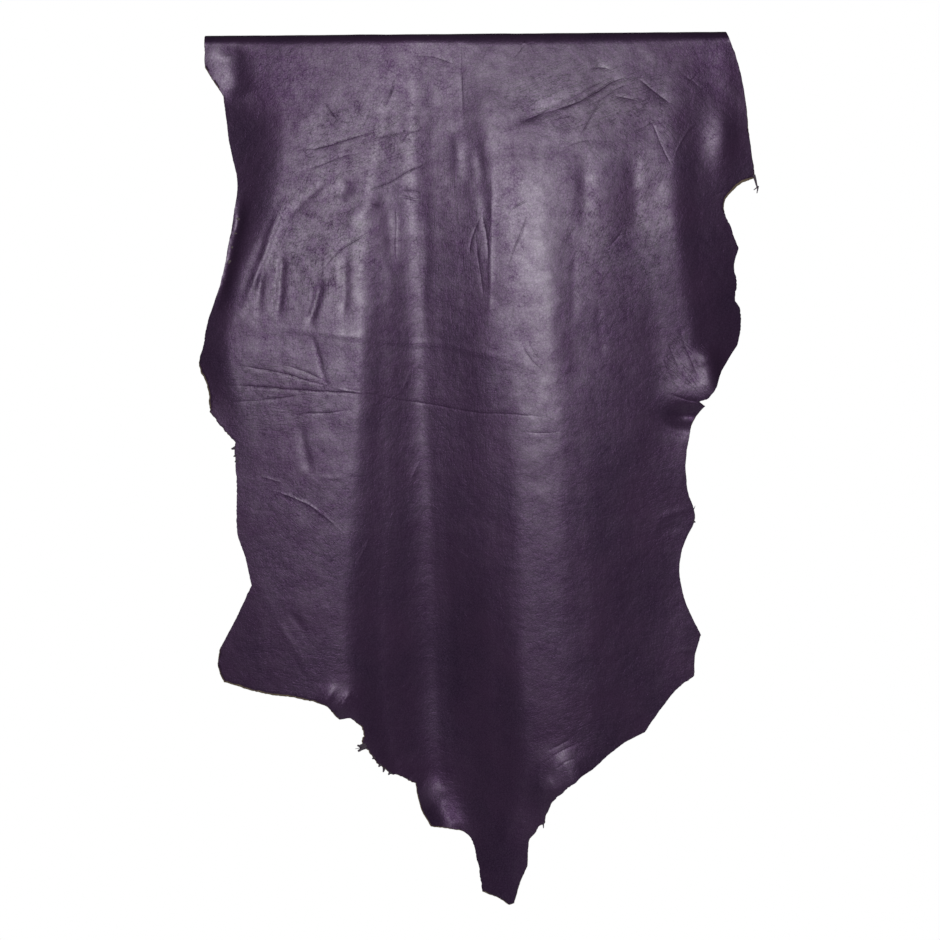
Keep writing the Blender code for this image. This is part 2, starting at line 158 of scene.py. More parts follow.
# How far each fold of the front fall lies from the middle, and how far forward it
# stands, both in mm, at each of the levels below the crest.
LEVELS = (0, 60, 130, 230, 340, 435, 545, 670, 795, 915, 1030, 1125, 1205)
FOLDS = {
    "left margin": ((-366, 0), (-362, -3.5), (-332, -13), (-322, -9), (-346, -4), (-374, -6),
        (-342, 2), (-323, 3), (-323, 2), (-345, -2), (-345, -8), (-300, -20), (-250, -28)),
    "left ridge": ((-290, 0), (-250, 0), (-246, 0), (-262, 1), (-310, 3), (-326, 4), (-300, 4),
        (-280, 4.5), (-282, 5), (-285, 3), (-285, 0), (-240, -16), (-190, -20)),
    "left face": ((-200, 0), (-200, 0), (-200, 0), (-205, 1), (-220, 2), (-226, 3), (-226, 4),
        (-226, 5), (-232, 6), (-228, 6), (-215, 0), (-180, -14), (-130, -20)),
    "left crest": ((-124, 0), (-124, 0), (-124, 0), (-144, 1), (-154, 2), (-154, 3), (-162, 3),
        (-170, 4), (-180, 5), (-172, 5), (-130, -8), (-90, -16), (-60, -24)),
    "left slope": ((-92, 0), (-92, -1), (-98, -2), (-110, -2.5), (-112, -3.5), (-112, -5),
        (-114, -6.5), (-116, -8), (-122, -11), (-120, -14), (-96, -20), (-60, -22), (-36, -27)),
    "spine valley": ((-70, 0), (-72, -2), (-74, -4), (-74, -6), (-70, -9.5), (-67, -13),
        (-63, -16), (-58, -20), (-55, -27), (-52, -34), (-46, -34), (-26, -28), (-10, -27)),
    "spine rise": ((-46, 0), (-46, -1), (-46, -2), (-46, -3.5), (-44, -7), (-42, -10),
        (-40, -13), (-37, -17), (-36, -24.5), (-34, -31), (-26, -31), (-12, -26), (0, -25)),
    "spine terrace": ((-10, 0), (-9, 0), (-8, 0.5), (-8, 0.5), (-10, -2), (-12, -4.5),
        (-13, -8), (-12, -11), (-10, -17), (-8, -22), (0, -24), (4, -21), (12, -21)),
    "spine edge": ((34, 0), (34, 2), (34, 5), (34, 6), (34, 4.5), (34, 4), (34, 2), (34, -0.5),
        (32, -3), (32, -7), (34, -11), (28, -12), (26, -16)),
    "right shoulder": ((66, 0), (66, 2), (66, 5), (66, 7.5), (68, 7.5), (70, 7), (72, 7),
        (74, 6.5), (74, 6), (78, 6.5), (80, 4), (44, -6), (40, -11)),
    "right crest": ((100, 0), (100, 2), (100, 4.5), (100, 7.5), (104, 8), (112, 8), (122, 9),
        (120, 8), (120, 7.5), (122, 8), (124, 6), (66, -1), (56, -7)),
    "flank slope": ((146, 0), (146, 2), (146, 4), (146, 6), (148, 5.5), (150, 5), (156, 6.5),
        (156, 5), (158, 4), (156, 5.5), (156, 5), (84, 0), (66, -5)),
    "flank ridge": ((185, 0), (185, 1), (188, 3.5), (190, 4.5), (192, 3), (194, 1.5),
        (196, 1.5), (196, -1.5), (198, -3), (190, 0), (178, 2), (98, -1), (76, -5)),
    "right hollow": ((220, 0), (220, 1), (224, 2.5), (232, 1.5), (230, 0), (228, -2.5),
        (228, -3), (228, -7), (228, -9), (214, -4.5), (194, -2), (114, -4), (88, -6)),
    "right brow": ((252, 0), (252, 0.5), (252, 2), (256, 1), (254, -1.5), (262, -6.5),
        (258, -7.5), (256, -11), (254, -13.5), (238, -8.5), (210, -6), (132, -8), (100, -8)),
    "right ridge": ((290, 0), (290, 0), (282, 1.5), (280, 1.5), (292, -3), (306, -8),
        (284, -9.5), (280, -14), (278, -16.5), (258, -11.5), (224, -9), (148, -11), (114, -10)),
    "right lip": ((335, 0), (335, -2), (322, -3), (320, -5.5), (326, -10), (332, -14),
        (304, -10.5), (298, -15.5), (298, -18), (276, -13.5), (238, -12), (190, -18),
        (160, -18)),
    "right margin": ((366, 0), (372, -3.5), (388, -9), (372, -14), (372, -22), (378, -29),
        (316, -11.5), (313, -17), (318, -20), (304, -16), (256, -16), (224, -24), (190, -24)),
}
# Local swellings (+) and pockets (-), as far forward as forward says, in mm.
Swell = namedtuple("Swell", "name x drop forward half_width half_height")
SWELLS = [Swell(*row) for row in (
    ("bulge over the slit", 322, 500, 6, 26, 40),
    ("pocket under the slit", 300, 530, -9, 26, 15),
    ("hook", 352, 150, 4, 18, 38),
    ("inside of the left leg", -188, 918, 5, 20, 18),
    ("rump, right", 128, 1012, 5, 32, 24),
)]
LAPPET_HINGE = ((-84, 1026), (2, 1110))     # the lappet bends forward beyond this line
LAPPET_TILT = radians(24.0)
LAPPET_ROUNDING = 6.0                       # mm
REAR_FLARE = 9.0                            # mm the rear fall stands back at its end
REAR_WAVE = 4.0                             # mm of wave across its end
REAR_WAVE_PITCH = 190.0                     # mm
REAR_REACH = 340.0                          # mm of leather behind the crest

GRAIN_PITCH = 3.9           # mm between the surface points of the grain side in front
FLESH_PITCH = 7.5           # mm between those of the flesh side
REAR_PITCH = 6.0            # mm between those of the grain side behind the bar
EDGE_PITCH = 2.6            # mm between the points along the cut edge
EDGE_ROOM = 0.55            # share of a pitch that the other points keep from the edge
LINE_ROOM = 0.5             # share of a pitch that they keep from those along the creases
STRETCH_STEPS = 12          # points worked out on each stretch of edge
STRETCHED = 0.25            # share of a step by which a run spreads before it gets one more
CHANCE_SEED = 41
chance = np.random.default_rng(CHANCE_SEED)

# Waves of the fray: the share that each kind has of it, and how many points long it is.
FRAY_WAVES = ((0.5, 1), (0.7, 4), (0.6, 11))
SKIVE_WAVE = (0.35, 3)      # the same for the skive
SKIVE_BLEND = 9             # points over which one skive fades to the next
LEAST_SKIVE = 0.15          # mm

# Creases of the grain: rise over the leather round them (- for a trough) and half width
# in mm, and the points, x and drop, that each runs through.
Crease = namedtuple("Crease", "name rise half_width points")
CREASES = [Crease(name, rise, half_width, points) for name, rise, half_width, *points in (
    ("spine crease", -0.13, 0.9, (-7, 9), (-7, 41), (-6, 82), (-5, 126)),
    ("neck arc", -0.13, 0.9, (-83, 32), (-51, 32), (-29, 38), (-10, 45)),
    ("cheek crease, lower", -0.21, 0.9, (-199, 93), (-186, 109), (-176, 123)),
    ("cheek crease, upper", -0.21, 0.9, (-97, 56), (-102, 77), (-109, 93), (-118, 104)),
    ("shoulder line, left", -0.21, 1.1, (-242, 160), (-206, 157), (-173, 148), (-147, 140), (-119, 133)),
    ("shoulder line, inner", -0.16, 1.0, (-139, 147), (-99, 139), (-52, 132)),
    ("second shoulder line", -0.16, 1.2, (-241, 191), (-209, 183), (-179, 171), (-136, 162)),
    ("armpit fold, left", -0.52, 4.5, (-256, 264), (-236, 240), (-212, 219), (-187, 196)),
    ("elbow line", -0.26, 1.1, (-145, 221), (-125, 213), (-106, 206), (-81, 191), (-52, 176)),
    ("elbow star", 0.26, 1.1, (-95, 223), (-82, 226), (-65, 230)),
    ("elbow star, upper", -0.18, 1.0, (-92, 216), (-77, 217), (-61, 220)),
    ("elbow star, left", -0.16, 0.9, (-135, 233), (-124, 236), (-113, 238)),
    ("elbow drop line", -0.16, 0.9, (-98, 235), (-98, 264), (-99, 293), (-97, 318)),
    ("lower elbow line", -0.21, 1.1, (-202, 326), (-188, 310), (-173, 296), (-153, 284), (-134, 272)),
    ("ripple 1", -0.83, 4.0, (-282, 305), (-285, 345), (-289, 393)),
    ("ripple 2", -1.12, 5.0, (-253, 292), (-257, 338), (-262, 396)),
    ("ripple 3", -1.5, 5.0, (-201, 333), (-208, 366), (-220, 403)),
    ("ripple 4", -0.75, 6.0, (-169, 292), (-169, 342), (-172, 400)),
    ("ripple 5", -0.75, 7.0, (-108, 234), (-107, 274), (-106, 320)),
    ("throat fold", -0.31, 1.2, (102, 113), (133, 104), (157, 95), (181, 81), (203, 68), (229, 62)),
    ("throat fold, upper", -0.16, 0.9, (129, 95), (151, 87), (173, 75), (195, 64)),
    ("throat fold, lower", -0.13, 0.9, (161, 104), (184, 94), (208, 78), (233, 70)),
    ("throat root", -0.13, 1.0, (75, 124), (91, 117), (108, 110)),
    ("throat nick", -0.16, 1.0, (167, 53), (183, 49), (199, 52)),
    ("brisket line", -0.21, 1.1, (233, 63), (251, 77), (266, 89), (284, 102)),
    ("brisket cross", -0.18, 1.0, (189, 90), (178, 108), (167, 126), (154, 146)),
    ("brisket tick", -0.16, 0.9, (201, 88), (219, 92), (237, 96)),
    ("brisket dash", -0.13, 1.0, (132, 160), (150, 153), (171, 148)),
    ("armpit line, right", -0.21, 1.2, (223, 143), (238, 136), (255, 128), (285, 124)),
    ("armpit fall, right", -0.16, 1.0, (249, 115), (259, 136), (267, 157), (283, 189)),
    ("crest nick", -0.16, 0.9, (64, 38), (73, 26), (82, 15)),
    ("long scratch", -0.18, 0.9, (52, 326), (61, 305), (71, 283), (86, 242)),
    ("scratch tick", -0.16, 0.9, (59, 245), (71, 238), (85, 230)),
    ("armpit curl", 0.23, 1.3, (283, 182), (289, 163), (299, 145), (308, 132), (321, 122)),
    ("hook line", -0.21, 1.3, (331, 230), (349, 222), (367, 218)),
    ("shoulder nick, right", -0.16, 1.1, (295, 57), (309, 68), (324, 80)),
    ("shoulder cross, right", -0.1, 1.0, (299, 79), (316, 62), (327, 49)),
    ("side tick, right", -0.13, 1.0, (193, 298), (204, 286), (215, 272)),
    ("storage fold, upper", 0.36, 4.0, (-325, 400), (-273, 402), (-244, 407), (-190, 413), (-146, 419),
        (-89, 424), (-50, 427), (-17, 432), (16, 441), (51, 449), (87, 461), (106, 466), (135, 473)),
    ("storage arc", -0.13, 0.9, (72, 425), (78, 439), (87, 452), (108, 472)),
    ("storage arc, outer", -0.1, 0.9, (82, 425), (89, 440), (100, 455)),
    ("storage fold, lower", -0.18, 1.1, (-191, 487), (-150, 493), (-92, 505), (-54, 510), (-18, 518),
        (15, 523), (51, 525), (91, 528), (128, 530)),
    ("flank fan 1", -0.23, 1.1, (-327, 453), (-292, 460), (-251, 468), (-216, 479), (-189, 487)),
    ("flank fan 2", -0.18, 1.0, (-254, 455), (-235, 461), (-218, 468), (-194, 479)),
    ("flank fan 3", -0.29, 1.1, (-345, 482), (-301, 484), (-240, 490), (-191, 493), (-133, 496)),
    ("flank fan 4", -0.18, 1.0, (-337, 507), (-293, 504), (-260, 501), (-216, 494)),
    ("flank fan 5", -0.18, 1.1, (-252, 527), (-230, 523), (-197, 522), (-157, 517)),
    ("flank fan root", 0.23, 1.3, (-188, 487), (-163, 492), (-130, 495)),
    ("flank fan rib", -0.39, 3.0, (-214, 413), (-206, 446), (-199, 472), (-188, 487)),
    ("side dash", -0.1, 0.9, (75, 550), (102, 552), (130, 550)),
    ("flank ridge line", 0.31, 1.0, (-284, 624), (-255, 633), (-228, 644), (-209, 656), (-192, 670),
        (-173, 687)),
    ("flank ridge tick", 0.18, 0.9, (-289, 608), (-273, 612), (-255, 618)),
    ("flank wedge", -0.76, 6.5, (-232, 531), (-229, 559), (-225, 581), (-219, 611)),
    ("flank band", 0.21, 2.6, (-211, 608), (-189, 611), (-167, 610)),
    ("belly tick", 0.18, 1.3, (-158, 734), (-147, 712), (-136, 690)),
    ("middle tick, upper", 0.13, 1.1, (-93, 495), (-86, 477), (-79, 459)),
    ("middle tick, lower", 0.13, 1.1, (-83, 618), (-75, 601), (-66, 585)),
    ("slit crease", -0.36, 1.4, (274, 497), (293, 505), (310, 509), (321, 511)),
    ("slit fan 1", -0.16, 1.2, (287, 400), (302, 442), (321, 486)),
    ("slit fan 2", -0.16, 1.2, (272, 422), (291, 464), (315, 496)),
    ("slit fan 3", 0.13, 1.2, (263, 441), (278, 476), (299, 502)),
    ("pucker, upper", -0.32, 2.7, (260, 547), (283, 554), (305, 559)),
    ("pucker ridge", 0.44, 4.5, (246, 679), (266, 668), (284, 662), (307, 659)),
    ("pucker hollow", -0.4, 5.0, (254, 692), (278, 684), (303, 682)),
    ("thigh tick", 0.24, 2.6, (279, 854), (294, 853), (311, 853)),
    ("leg ridge", 0.4, 4.5, (-269, 784), (-259, 817), (-239, 849), (-219, 885), (-208, 912)),
    ("leg valley", -0.4, 4.5, (-251, 789), (-237, 809), (-221, 832)),
    ("leg spot", 0.28, 2.4, (-186, 923), (-175, 915), (-164, 907)),
    ("rump pocket", -0.88, 8.0, (-134, 986), (-107, 995), (-75, 1001)),
    ("thigh wrinkle 1", -0.18, 1.4, (92, 1012), (109, 997), (130, 985), (153, 976)),
    ("thigh wrinkle 2", -0.16, 1.3, (101, 990), (119, 981), (141, 969)),
    ("thigh wrinkle 3", -0.16, 1.3, (112, 1016), (128, 1004), (149, 996)),
    ("thigh light", 0.32, 2.7, (103, 1023), (112, 1037), (121, 1052)),
    ("spine fork, left", -0.21, 1.2, (20, 248), (13, 265), (5, 284), (2, 310)),
    ("spine fork, right", -0.21, 1.2, (20, 248), (25, 275), (29, 319)),
    ("spine fork, middle", -0.16, 1.1, (10, 266), (13, 299), (18, 335), (22, 374)),
    ("spine shoulder edge", 0.32, 2.4, (36, 162), (34, 231), (32, 299), (30, 368), (28, 415)),
    ("spine shadow", -0.64, 7.0, (10, 126), (17, 176), (22, 231), (27, 291)),
    ("side dip 1", -0.24, 5.0, (148, 293), (146, 348), (143, 410)),
    ("side dip 2", -0.24, 4.0, (179, 364), (181, 411), (185, 455)),
    ("margin roll, left", -5.25, 8.0, (-308, 209), (-317, 258), (-330, 313), (-350, 390)),
    ("rib hollow 1", -0.83, 11.0, (160, 152), (161, 204), (160, 281)),
    ("rib hollow 2", -0.83, 11.0, (227, 150), (229, 205), (232, 287)),
    ("elbow pad", 0.98, 11.0, (-173, 270), (-146, 246), (-120, 221)),
    ("elbow hollow", -0.83, 10.0, (-181, 228), (-169, 215), (-161, 202)),
    ("waist rib", 1.27, 5.0, (-248, 223), (-269, 272), (-283, 313), (-305, 366), (-319, 396)),
    ("spine streak 1", -0.34, 6.0, (-60, 224), (-57, 285), (-61, 367), (-58, 422)),
    ("spine light", 0.9, 8.0, (-15, 134), (-12, 173), (-14, 211)),
    ("neck hollow, left", -2.55, 20.0, (-326, 11), (-322, 46), (-314, 93)),
    ("corner ridge, right", 0.75, 13.0, (349, 10), (356, 49), (365, 101)),
    ("leg, eased", -3.0, 18.0, (-197, 914), (-189, 919), (-179, 925)),
    ("slit lip", 6.75, 14.0, (324, 428), (332, 459), (337, 486), (345, 527)),
    ("rump flap", 6.75, 21.0, (74, 1042), (105, 1043), (132, 1040), (168, 1021)),
    ("lappet, eased", 2.7, 17.0, (-52, 1019), (-44, 1050), (-30, 1077), (-11, 1116)),
    ("shoulder shadow", -0.9, 9.0, (46, 132), (84, 116), (128, 99), (173, 80)),
    ("brisket shadow", -0.34, 9.0, (239, 67), (261, 85), (288, 106)),
    ("cross shadow", -0.45, 10.0, (162, 157), (200, 149), (238, 136), (282, 120)),
)]
CREASE_FADE = 0.30          # share of a crease's length over which each end fades
CREASE_STEP = 2.5           # mm between the rows worked out along a crease
CREASE_SWAY = 0.4           # mm by which it strays from its smooth course
SWAY_WAVES = ((1.0, 4), (0.5, 2))   # share of the sway, and rows to a wave
CREASE_UNEVEN = 0.35        # share by which its strength varies along it
UNEVEN_ROWS = 5             # rows at least from one strength to the next
CREASE_REACH = 3            # half widths from its middle at which it has run out
FINE_CREASE = 4.0           # mm of half width below which a crease gets its own points
CREASE_ROWS = (-1.7, -0.85, 0.0, 0.85, 1.7)     # of those points, in half widths
CREASE_ALONG = 1.5          # half widths between them along the crease
CREASE_CLEAR = 0.7          # mm they keep from each other

# Soft unevenness of the whole sheet: how far it swells and how wide a swell is, in mm.
Undulation = namedtuple("Undulation", "rise width")
UNDULATIONS = (Undulation(0.42, 58), Undulation(0.22, 29), Undulation(0.10, 15))


def over_crest(drop):
    """Length of leather, in mm, from the crest down to a drop in front of the bar."""
    turn = (BAR_RADIUS + SHEET) / MM
    if drop < turn:
        return TURN_RADIUS / MM * acos(1 - drop / turn)
    return QUARTER + drop - turn


def drop_at(height):
    """Drop below the crest, in mm, of front leather at a height of the flat cut, in mm."""
    turn = (BAR_RADIUS + SHEET) / MM
    down = np.maximum(-height, 0.0)
    return np.where(down < QUARTER, turn * (1 - np.cos(down * MM / TURN_RADIUS)),
                    turn + down - QUARTER)


def bowed_points(start, stretches):
    """Ends and bowed middles of the stretches, with a flag for each corner and the cut."""
    points = [(*start, True, *PLAIN_CUT)]
    for _, x, y, bow, corner, *cut in stretches:
        x0, y0 = points[-1][:2]
        length = hypot(x - x0, y - y0)
        if bow:
            points.append(((x0 + x) / 2 + bow * (y - y0) / length,
                           (y0 + y) / 2 - bow * (x - x0) / length, False, *cut))
        points.append((x, y, corner, *cut))
    return points


def tangent(points, i):
    """Direction of the smooth curve at a point, for a Hermite curve."""
    before, here, after = points[i - 1], points[i], points[i + 1]
    d0 = hypot(here[0] - before[0], here[1] - before[1])
    d1 = hypot(after[0] - here[0], after[1] - here[1])
    return [((here[k] - before[k]) / d0 * d1 + (after[k] - here[k]) / d1 * d0) / (d0 + d1)
            for k in (0, 1)]


def smooth_curve(points):
    """Curve through the points (x, y, corner, ...), broken at each corner."""
    curve = []
    last = len(points) - 1
    for i in range(last):
        a, b = points[i], points[i + 1]
        length = hypot(b[0] - a[0], b[1] - a[1])
        chord = [(b[k] - a[k]) / length for k in (0, 1)]
        ta = chord if a[2] or i == 0 else tangent(points, i)
        tb = chord if b[2] or i + 1 == last else tangent(points, i + 1)
        for step in range(STRETCH_STEPS):
            t = step / STRETCH_STEPS
            h1, h2 = (2 * t - 3) * t * t + 1, ((t - 2) * t + 1) * t
            h3, h4 = (3 - 2 * t) * t * t, (t - 1) * t * t
            curve.append(tuple(h1 * a[k] + h3 * b[k] + length * (h2 * ta[k] + h4 * tb[k])
                               for k in (0, 1)) + (a[2] and step == 0, *b[3:]))
    return curve


def spaced(run, pitch):
    """Rows about one pitch apart along an open run of rows that start x, y."""
    along = np.append(0.0, np.cumsum(np.hypot(*np.diff(run[:, :2], axis=0).T)))
    at = np.linspace(0.0, along[-1], max(1, ceil(along[-1] / pitch - STRETCHED)) + 1)
    return np.column_stack([np.interp(at, along, column) for column in run.T])


def wander(count, every):
    """Smooth chance values from -1 to 1, a new one at every so many of count points."""
    knots = np.arange(0, count + every, every)
    return np.interp(np.arange(count), knots, chance.uniform(-1, 1, len(knots)))


def waves(count, kinds):
    """Sum of smooth chance values, for each kind of wave its share and how long it is."""
    return sum(share * wander(count, every) for share, every in kinds)


def side_of(line):
    """Unit steps to the right of an open run of points x, y."""
    along = np.gradient(line, axis=0)
    return np.column_stack((along[:, 1], -along[:, 0])) / np.hypot(*along.T)[:, None]


def cut_edge():
    """Edges of the flesh side and of the grain side of the flat hide, in mm: x and height."""
    hanging = [row._replace(drop=-row.drop) for row in FRONT_EDGE]
    front = smooth_curve(bowed_points(FRONT_START, hanging))
    front = [(x, -over_crest(max(0.0, -y)), *rest) for x, y, *rest in front]
    rear_start = (FRONT_EDGE[-1].x, 0)
    rear_end = Tuck("crest, left", FRONT_START[0], 0, 0, True)
    curve = front + smooth_curve(bowed_points(rear_start, REAR_EDGE + [rear_end]))
    corners = [i for i, point in enumerate(curve) if point[2]] + [len(curve)]
    closed = np.array([(x, y, fray, skive) for x, y, _, fray, skive in curve + curve[:1]])
    rows = np.vstack([spaced(closed[a:b + 1], EDGE_PITCH)[:-1]
                      for a, b in zip(corners, corners[1:])])
    edge, fray, skive = rows[:, :2], rows[:, 2], rows[:, 3]
    along = np.roll(edge, -1, axis=0) - np.roll(edge, 1, axis=0)
    outside = np.column_stack((along[:, 1], -along[:, 0])) / np.hypot(*along.T)[:, None]
    flesh = edge + outside * (fray * waves(len(edge), FRAY_WAVES))[:, None]
    blend = np.ones(SKIVE_BLEND) / SKIVE_BLEND
    skive = np.convolve(np.pad(skive, SKIVE_BLEND // 2, mode="wrap"), blend, "valid")
    inset = np.maximum(skive * (1 + waves(len(edge), [SKIVE_WAVE])), LEAST_SKIVE)
    return flesh, flesh - outside * inset[:, None]


def run_through(knots_at, knots, at):
    """Cubic through knots, flat at each highest and lowest one, straight past the ends.
    The last axis of knots_at and knots runs over the knots; at has one value a row."""
    steps = np.diff(knots_at)
    slopes = np.diff(knots) / steps
    before, after = slopes[..., :-1], slopes[..., 1:]
    w0 = 2 * steps[..., 1:] + steps[..., :-1]
    w1 = steps[..., 1:] + 2 * steps[..., :-1]
    same_way = before * after > 0
    mean = (w0 + w1) * before * after / np.where(same_way, w0 * after + w1 * before, 1.0)
    ends = np.concatenate((slopes[..., :1], np.where(same_way, mean, 0.0), slopes[..., -1:]), -1)

    shape = at.shape + knots_at.shape[-1:]
    knots_at, knots, ends = (np.broadcast_to(a, shape) for a in (knots_at, knots, ends))
    before = (at[:, None] >= knots_at).sum(axis=1) - 1
    pair = np.clip(before, 0, knots_at.shape[1] - 2)[:, None] + (0, 1)
    x0, x1 = np.take_along_axis(knots_at, pair, 1).T
    y0, y1 = np.take_along_axis(knots, pair, 1).T
    m0, m1 = np.take_along_axis(ends, pair, 1).T
    step = x1 - x0
    t = (at - x0) / step
    inside = ((1 + 2 * t) * (1 - t) ** 2 * y0 + t * (1 - t) ** 2 * step * m0
              + t * t * (3 - 2 * t) * y1 + t * t * (t - 1) * step * m1)
    return np.where(t < 0, y0 + m0 * (at - x0), np.where(t > 1, y1 + m1 * (at - x1), inside))


LEVELS_AT = np.array(LEVELS, float)
FOLD_ROWS = np.array(list(FOLDS.values()), float)       # fold, level, (x, forward)


def folds_forward(x, drop):
    """How far forward the front fall stands, in mm."""
    across, forward = (
        np.stack([run_through(LEVELS_AT, row, drop) for row in FOLD_ROWS[..., k]], axis=1)
        for k in (0, 1))
    depth = run_through(across, forward, x)
    for swell in SWELLS:
        u, v = (x - swell.x) / swell.half_width, (drop - swell.drop) / swell.half_height
        depth += swell.forward * np.exp(-u * u - v * v)
    return depth + lappet_forward(x, drop)


def lappet_forward(x, drop):
    """The small lappet beside the tail turns forward beyond its hinge line."""
    (x0, drop0), (x1, drop1) = LAPPET_HINGE
    length = hypot(x1 - x0, drop1 - drop0)
    along = ((x - x0) * (x1 - x0) + (drop - drop0) * (drop1 - drop0)) / length
    beyond = ((drop - drop0) * (x1 - x0) - (x - x0) * (drop1 - drop0)) / length
    rounded = LAPPET_ROUNDING * np.logaddexp(0.0, beyond / LAPPET_ROUNDING)
    share = np.sin(pi * np.clip(along / length, 0.0, 1.0)) ** 0.5
    return tan(LAPPET_TILT) * rounded * share


def rear_stand(x, over):
    """How far the rear fall stands back from the bar's side, in mm."""
    down = (over - QUARTER) / REAR_REACH
    return REAR_FLARE * down ** 2 + REAR_WAVE * down * (1 + np.sin(2 * pi * x / REAR_WAVE_PITCH))


def drape(flat):
    """Places in metres, on the middle of the sheet, of points x, height of the flat cut in mm."""
    x, height = flat.T
    angle = np.clip(height, -QUARTER, QUARTER) * MM / TURN_RADIUS
    below = np.maximum(np.abs(height) - QUARTER, 0.0)
    y = TURN_RADIUS * np.sin(angle)
    z = np.where(below > 0, -BAR_RADIUS - below * MM, TURN_RADIUS * np.cos(angle) - BAR_RADIUS)
    front, rear = height < -QUARTER, height > QUARTER
    y[front] -= folds_forward(x[front], drop_at(height[front])) * MM
    y[rear] += rear_stand(x[rear], height[rear]) * MM
    return np.column_stack((x * MM, y, z))


def outwards(flat, reach=0.6):
    """Unit normals of the draped sheet on its grain side."""
    across = drape(flat + (reach, 0)) - drape(flat - (reach, 0))
    up = drape(flat + (0, reach)) - drape(flat - (0, reach))
    normal = np.cross(across, up)
    return normal / np.linalg.norm(normal, axis=1)[:, None]


def crease_line(crease):
    """Rows x, height and strength a little way apart along a crease on the flat cut."""
    points = [(x, -over_crest(drop), False) for x, drop in crease.points]
    curve = smooth_curve(points) + points[-1:]
    line = spaced(np.array([point[:2] for point in curve]), CREASE_STEP)
    sway = CREASE_SWAY * waves(len(line), SWAY_WAVES)
    share = np.linspace(0.0, 1.0, len(line))
    ends = np.clip(np.minimum(share, 1 - share) / CREASE_FADE, 0.0, 1.0)
    every = max(UNEVEN_ROWS, round(crease.half_width))
    strength = ends * ends * (3 - 2 * ends) * (1 + CREASE_UNEVEN * wander(len(line), every))
    return np.column_stack((line + sway[:, None] * side_of(line), strength))


def crease_relief(flat, widest_only):
    """How far the creases lift the grain, in mm, at points of the flat cut."""
    relief = np.zeros(len(flat))
    for crease, line in CREASE_LINES:
        if widest_only and crease.half_width < FINE_CREASE:
            continue
        reach = CREASE_REACH * crease.half_width
        low, high = line[:, :2].min(axis=0) - reach, line[:, :2].max(axis=0) + reach
        near = np.flatnonzero(((flat > low) & (flat < high)).all(axis=1))
        if not len(near):
            continue
        a, run = line[:-1, :2], np.diff(line[:, :2], axis=0)
        t = ((flat[near, None] - a) * run).sum(axis=2) / (run ** 2).sum(axis=1)
        t = np.clip(t, 0.0, 1.0)
        away = np.linalg.norm(flat[near, None] - a - t[..., None] * run, axis=2)
        nearest = away.argmin(axis=1)
        picked = np.arange(len(near)), nearest
        strength = line[nearest, 2] + t[picked] * (line[nearest + 1, 2] - line[nearest, 2])
        relief[near] += crease.rise * strength * np.exp(-(away[picked] / crease.half_width) ** 2)
    return relief


def undulation(flat):
    """How far the sheet swells forward, in mm, at points of the flat cut."""
    return np.array([sum(wave.rise * noise.noise((x / wave.width, y / wave.width, wave.width))
                         for wave in UNDULATIONS) for x, y in flat])


def net_of_points(edge, front_pitch, rear_pitch, clear):
    """Rows of points over the flat cut, in near-equal triangles and clear of its edge."""
    (left, lowest), (right, highest) = edge.min(axis=0), edge.max(axis=0)
    ends = np.roll(edge, -1, axis=0)
    net = []
    height, n = lowest, 0
    while height < highest:
        pitch = rear_pitch if height > QUARTER else front_pitch
        crosses = (edge[:, 1] > height) != (ends[:, 1] > height)
        a, b = edge[crosses], ends[crosses]
        at = np.sort(a[:, 0] + (height - a[:, 1]) * (b - a)[:, 0] / (b - a)[:, 1])
        row = np.arange(left + (pitch / 2 if n % 2 else 0.0), right, pitch)
        row = row[np.searchsorted(at, row) % 2 == 1]
        net += [(x, height) for x in row]
        height += pitch * 3 ** 0.5 / 2
        n += 1
    return np.array([point for point in net if clear(point)])


def tree_of(points):
    """Search tree over points in the plane."""
    tree = KDTree(len(points))
    for i, (x, y) in enumerate(points):
        tree.insert((x, y, 0.0), i)
    tree.balance()
    return tree


def crease_points(edge_tree):
    """Rows of points along each fine crease, none close to the edge or to each other."""
    kept = {}
    for crease, line in CREASE_LINES:
        if crease.half_width >= FINE_CREASE:
            continue
        line = spaced(line[:, :2], CREASE_ALONG * crease.half_width)
        for offset in CREASE_ROWS:
            for x, y in line + offset * crease.half_width * side_of(line):
                cell = round(x / CREASE_CLEAR), round(y / CREASE_CLEAR)
                around = [kept.get((cell[0] + i, cell[1] + j))
                          for i in (-1, 0, 1) for j in (-1, 0, 1)]
                close = any(p and hypot(p[0] - x, p[1] - y) < CREASE_CLEAR for p in around)
                if not close and edge_tree.find((x, y, 0))[2] > EDGE_PITCH:
                    kept[cell] = (x, y)
    return np.array(list(kept.values()))


WITHIN_BORDER = 1           # keeps the triangles inside the border
SAME_POINT = 1e-4           # mm within which two points are one
SLIVER = 1e-6               # mm2, twice the area of a triangle too thin to keep


def triangles(edge, others):
    """Flat points and triangles of one side of the hide; its first points are the edge."""
    flat = np.vstack((edge, others))
    border = list(range(len(edge)))
    made = delaunay_2d_cdt([Vector(p) for p in flat], [], [border], WITHIN_BORDER, SAME_POINT)
    index = [origins[0] for origins in made[3]]
    faces = np.array([[index[i] for i in face] for face in made[2]])
    a, b, c = (flat[faces[:, k]] for k in range(3))
    turn = (b - a)[:, 0] * (c - a)[:, 1] - (b - a)[:, 1] * (c - a)[:, 0]
    faces[turn < 0] = faces[turn < 0][:, ::-1]
    return flat, faces[np.abs(turn) > SLIVER]


CREASE_LINES = [(crease, crease_line(crease)) for crease in CREASES]
flesh_edge, grain_edge = cut_edge()
edge_tree = tree_of(grain_edge)
lines = crease_points(edge_tree)
line_tree = tree_of(lines)


